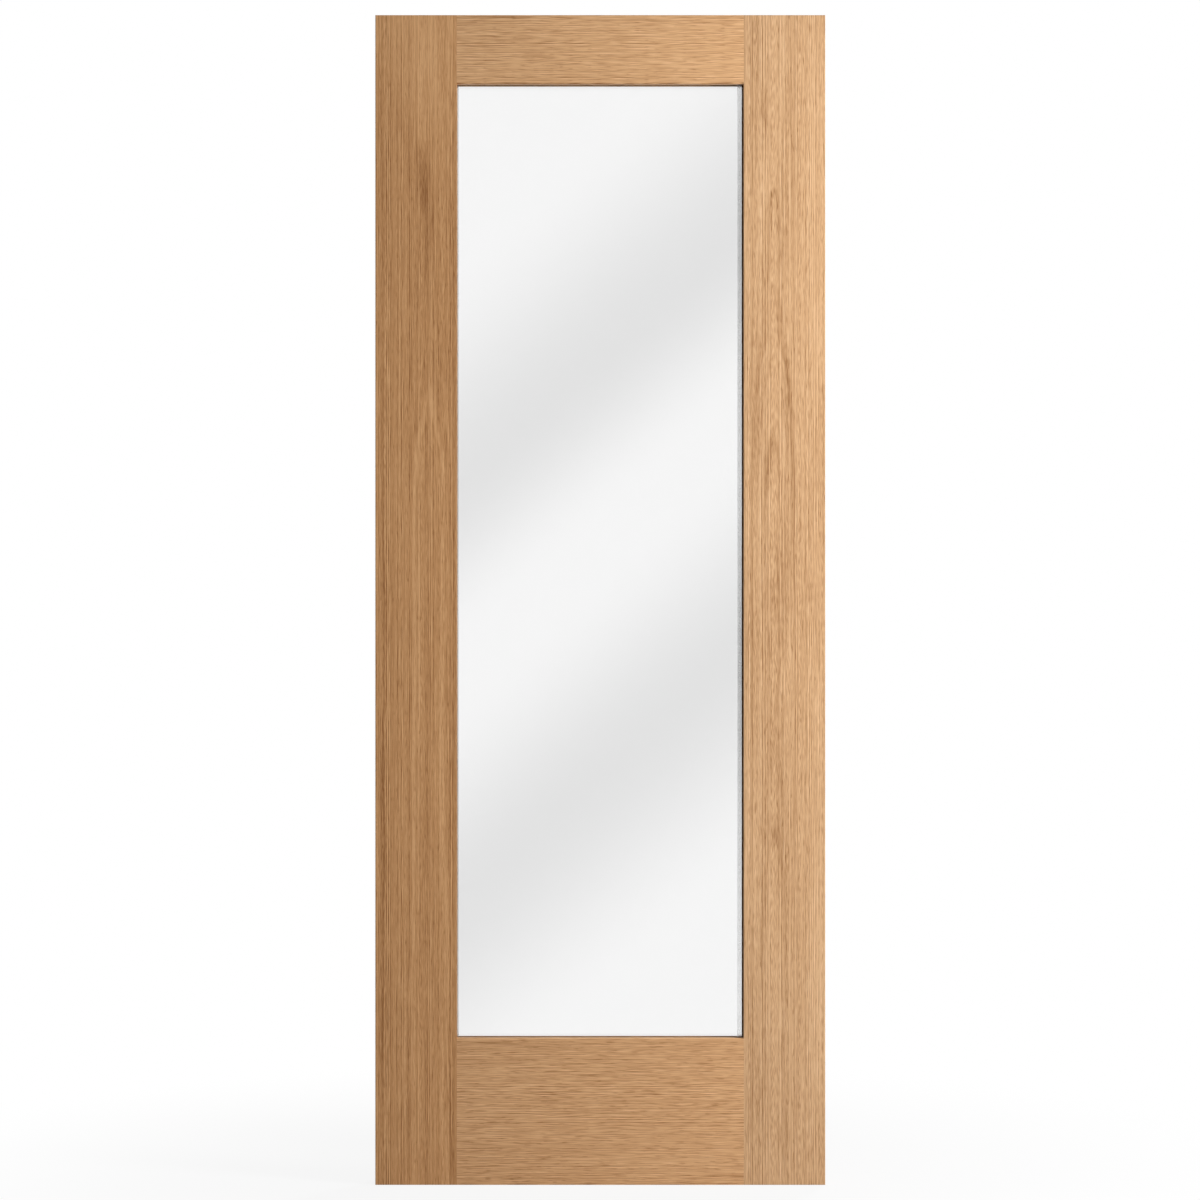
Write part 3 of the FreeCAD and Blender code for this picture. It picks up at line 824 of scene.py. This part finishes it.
# The lamps, in metres and watts.
KEY_PLACE = Vector((2.10, -0.87, 1.48))
KEY_ENERGY = 60.8
BACK_KEY_PLACE = Vector((1.50, 1.95, 1.60))
BACK_KEY_ENERGY = 42.0
LAMP_WIDTH = 0.5
LAMP_HEIGHT = 2.4
LAMP_AIM = Vector((LEAF_WIDTH / 2, 0.0, 1.2))
# The camera, and the leaf's height in the photograph in pixels. The leaf stands a little right of the middle.
CAMERA_DISTANCE = 5.0
CAMERA_LEFT = 0.5 * MM
PHOTO_PIXELS = 1200.0
PHOTO_LEAF_HEIGHT = 1169.95
SENSOR = 36.0
# The card that the glass mirrors: how far behind the camera it stands, its half size, and its bands of grey.
# The bands lie across a slope, over a span to either side of the card's middle.
CARD_BEHIND = 0.4
CARD_HALF_WIDTH = 0.8
CARD_HALF_HEIGHT = 2.2
CARD_SLOPE = 0.89
CARD_SPAN = 2.157
CARD_STRENGTH = 1.25
CARD_BANDS = [
    (0.0, 1.0), (0.116, 1.0), (0.304, 0.05), (0.434, 1.0),
    (0.476, 1.0), (0.643, 0.05), (0.827, 1.0), (1.0, 1.0),
]


def stage_mesh(name, corners, material):
    """A flat piece that is not part of the object."""
    mesh = bpy.data.meshes.new(name)
    mesh.from_pydata(corners, [], [tuple(range(len(corners)))])
    mesh.materials.append(material)
    piece = bpy.data.objects.new(name, mesh)
    scene.collection.objects.link(piece)
    return piece


def seen_directly(tree):
    """1 for a ray from the camera, a mirror or through glass, 0 for a ray that lights a matt surface."""
    path = tree.add("ShaderNodeLightPath")
    found = tree.math("MAXIMUM", path.outputs["Is Camera Ray"], path.outputs["Is Glossy Ray"])
    found = tree.math("MAXIMUM", found, path.outputs["Is Transmission Ray"])
    return tree.math("MULTIPLY", found, tree.math("LESS_THAN", path.outputs["Diffuse Depth"], 0.5))


def mirrored(tree):
    """1 for a ray that a surface has mirrored on its way."""
    return tree.math("GREATER_THAN", tree.add("ShaderNodeLightPath").outputs["Glossy Depth"], 0.5)


def surroundings():
    """White where it is seen, and a soft fill on the leaf."""
    world = bpy.data.worlds.new("studio")
    scene.world = world
    tree = Tree(world)
    _, way_y, way_z = tree.coordinates("Generated")
    fill = FILL_ROUND
    for light, (part_y, part_z) in ((FILL_FRONT, FRONT_WAY), (FILL_BACK, BACK_WAY)):
        facing = tree.math("MULTIPLY_ADD", way_y, part_y, tree.math("MULTIPLY", way_z, part_z))
        fill = tree.total(fill, (light, tree.math("MAXIMUM", facing, 0.0)))
    seen = seen_directly(tree)
    strength = tree.math("ADD", seen, tree.math("MULTIPLY", fill, tree.math("SUBTRACT", 1.0, seen)))
    background = tree.add("ShaderNodeBackground", {"Color": WHITE, "Strength": strength})
    tree.output(background, "ShaderNodeOutputWorld")


def pale_floor():
    """A floor that keeps a soft shadow, runs out to white and is not mirrored."""
    material, tree = new_tree("pale_floor")
    place = tree.add("ShaderNodeTexCoord").outputs["Object"]
    middle = (LEAF_WIDTH / 2, 0.0, 0.0)
    away = tree.add("ShaderNodeVectorMath", {0: place, 1: middle}, operation="DISTANCE").outputs["Value"]
    matt = tree.add("ShaderNodeBsdfDiffuse", {"Color": FLOOR_GREY})
    white = tree.add("ShaderNodeEmission", {"Color": WHITE, "Strength": 1.0})
    bright = tree.span(away, FLOOR_WHITE_FROM, FLOOR_WHITE_TO, FLOOR_WHITE_NEAR, 1.0)
    shown = tree.choose(tree.math("MULTIPLY", bright, seen_directly(tree)), matt, white)
    clear = tree.add("ShaderNodeBsdfTransparent")
    tree.output(tree.choose(mirrored(tree), shown, clear))
    corners = [(FLOOR_REACH * way_x, FLOOR_REACH * way_y, 0.0) for way_x, way_y in OUTWARD]
    stage_mesh("floor", corners, material)


def tall_lamp(name, place, energy):
    """A tall soft lamp that shines on the leaf and does not show in the glass."""
    light = bpy.data.lights.new(name, "AREA")
    light.shape = "RECTANGLE"
    light.size = LAMP_WIDTH
    light.size_y = LAMP_HEIGHT
    light.energy = energy
    lamp = bpy.data.objects.new(name, light)
    lamp.location = place
    lamp.rotation_mode = "QUATERNION"
    lamp.rotation_quaternion = (LAMP_AIM - place).to_track_quat("-Z", "Y")
    for ray in ("camera", "glossy", "transmission"):
        setattr(lamp, f"visible_{ray}", False)
    scene.collection.objects.link(lamp)


def camera():
    """Square on to the front face, with the leaf as tall in the frame as in the photograph."""
    data = bpy.data.cameras.new("camera")
    data.sensor_width = SENSOR
    frame_width = LEAF_HEIGHT * PHOTO_PIXELS / PHOTO_LEAF_HEIGHT
    data.lens = SENSOR * CAMERA_DISTANCE / frame_width
    eye = bpy.data.objects.new("camera", data)
    eye.location = (LEAF_WIDTH / 2 - CAMERA_LEFT, FRONT_Y - CAMERA_DISTANCE, LEAF_HEIGHT / 2)
    eye.rotation_euler = (math.pi / 2, 0.0, 0.0)
    scene.collection.objects.link(eye)
    scene.camera = eye


def graded_card():
    """A card behind the camera with soft slanting bands, which the glass mirrors."""
    material, tree = new_tree("graded_card")
    x, _, z = tree.coordinates()
    slant = tree.math("SUBTRACT", tree.math("MULTIPLY", x, CARD_SLOPE), z)
    share = tree.span(slant, -CARD_SPAN, CARD_SPAN, 0.0, 1.0, smooth=False)
    glow = tree.ramp(share, CARD_BANDS, "EASE")
    light = tree.add("ShaderNodeEmission", {"Color": glow, "Strength": CARD_STRENGTH})
    clear = tree.add("ShaderNodeBsdfTransparent")
    tree.output(tree.choose(mirrored(tree), clear, light))
    corners = [(CARD_HALF_WIDTH * way_x, 0.0, CARD_HALF_HEIGHT * way_z) for way_x, way_z in OUTWARD]
    card = stage_mesh("graded_card", corners, material)
    card.location = (LEAF_WIDTH / 2, FRONT_Y - CAMERA_DISTANCE - CARD_BEHIND, LEAF_HEIGHT / 2)
    for ray in ("camera", "diffuse", "shadow", "volume_scatter"):
        setattr(card, f"visible_{ray}", False)


scene.view_settings.view_transform = "Standard"
dress_stiles()
dress_rails()
dress_edges()
dress_beads()
dress_glazing()
surroundings()
pale_floor()
tall_lamp("key", KEY_PLACE, KEY_ENERGY)
tall_lamp("back_key", BACK_KEY_PLACE, BACK_KEY_ENERGY)
camera()
graded_card()
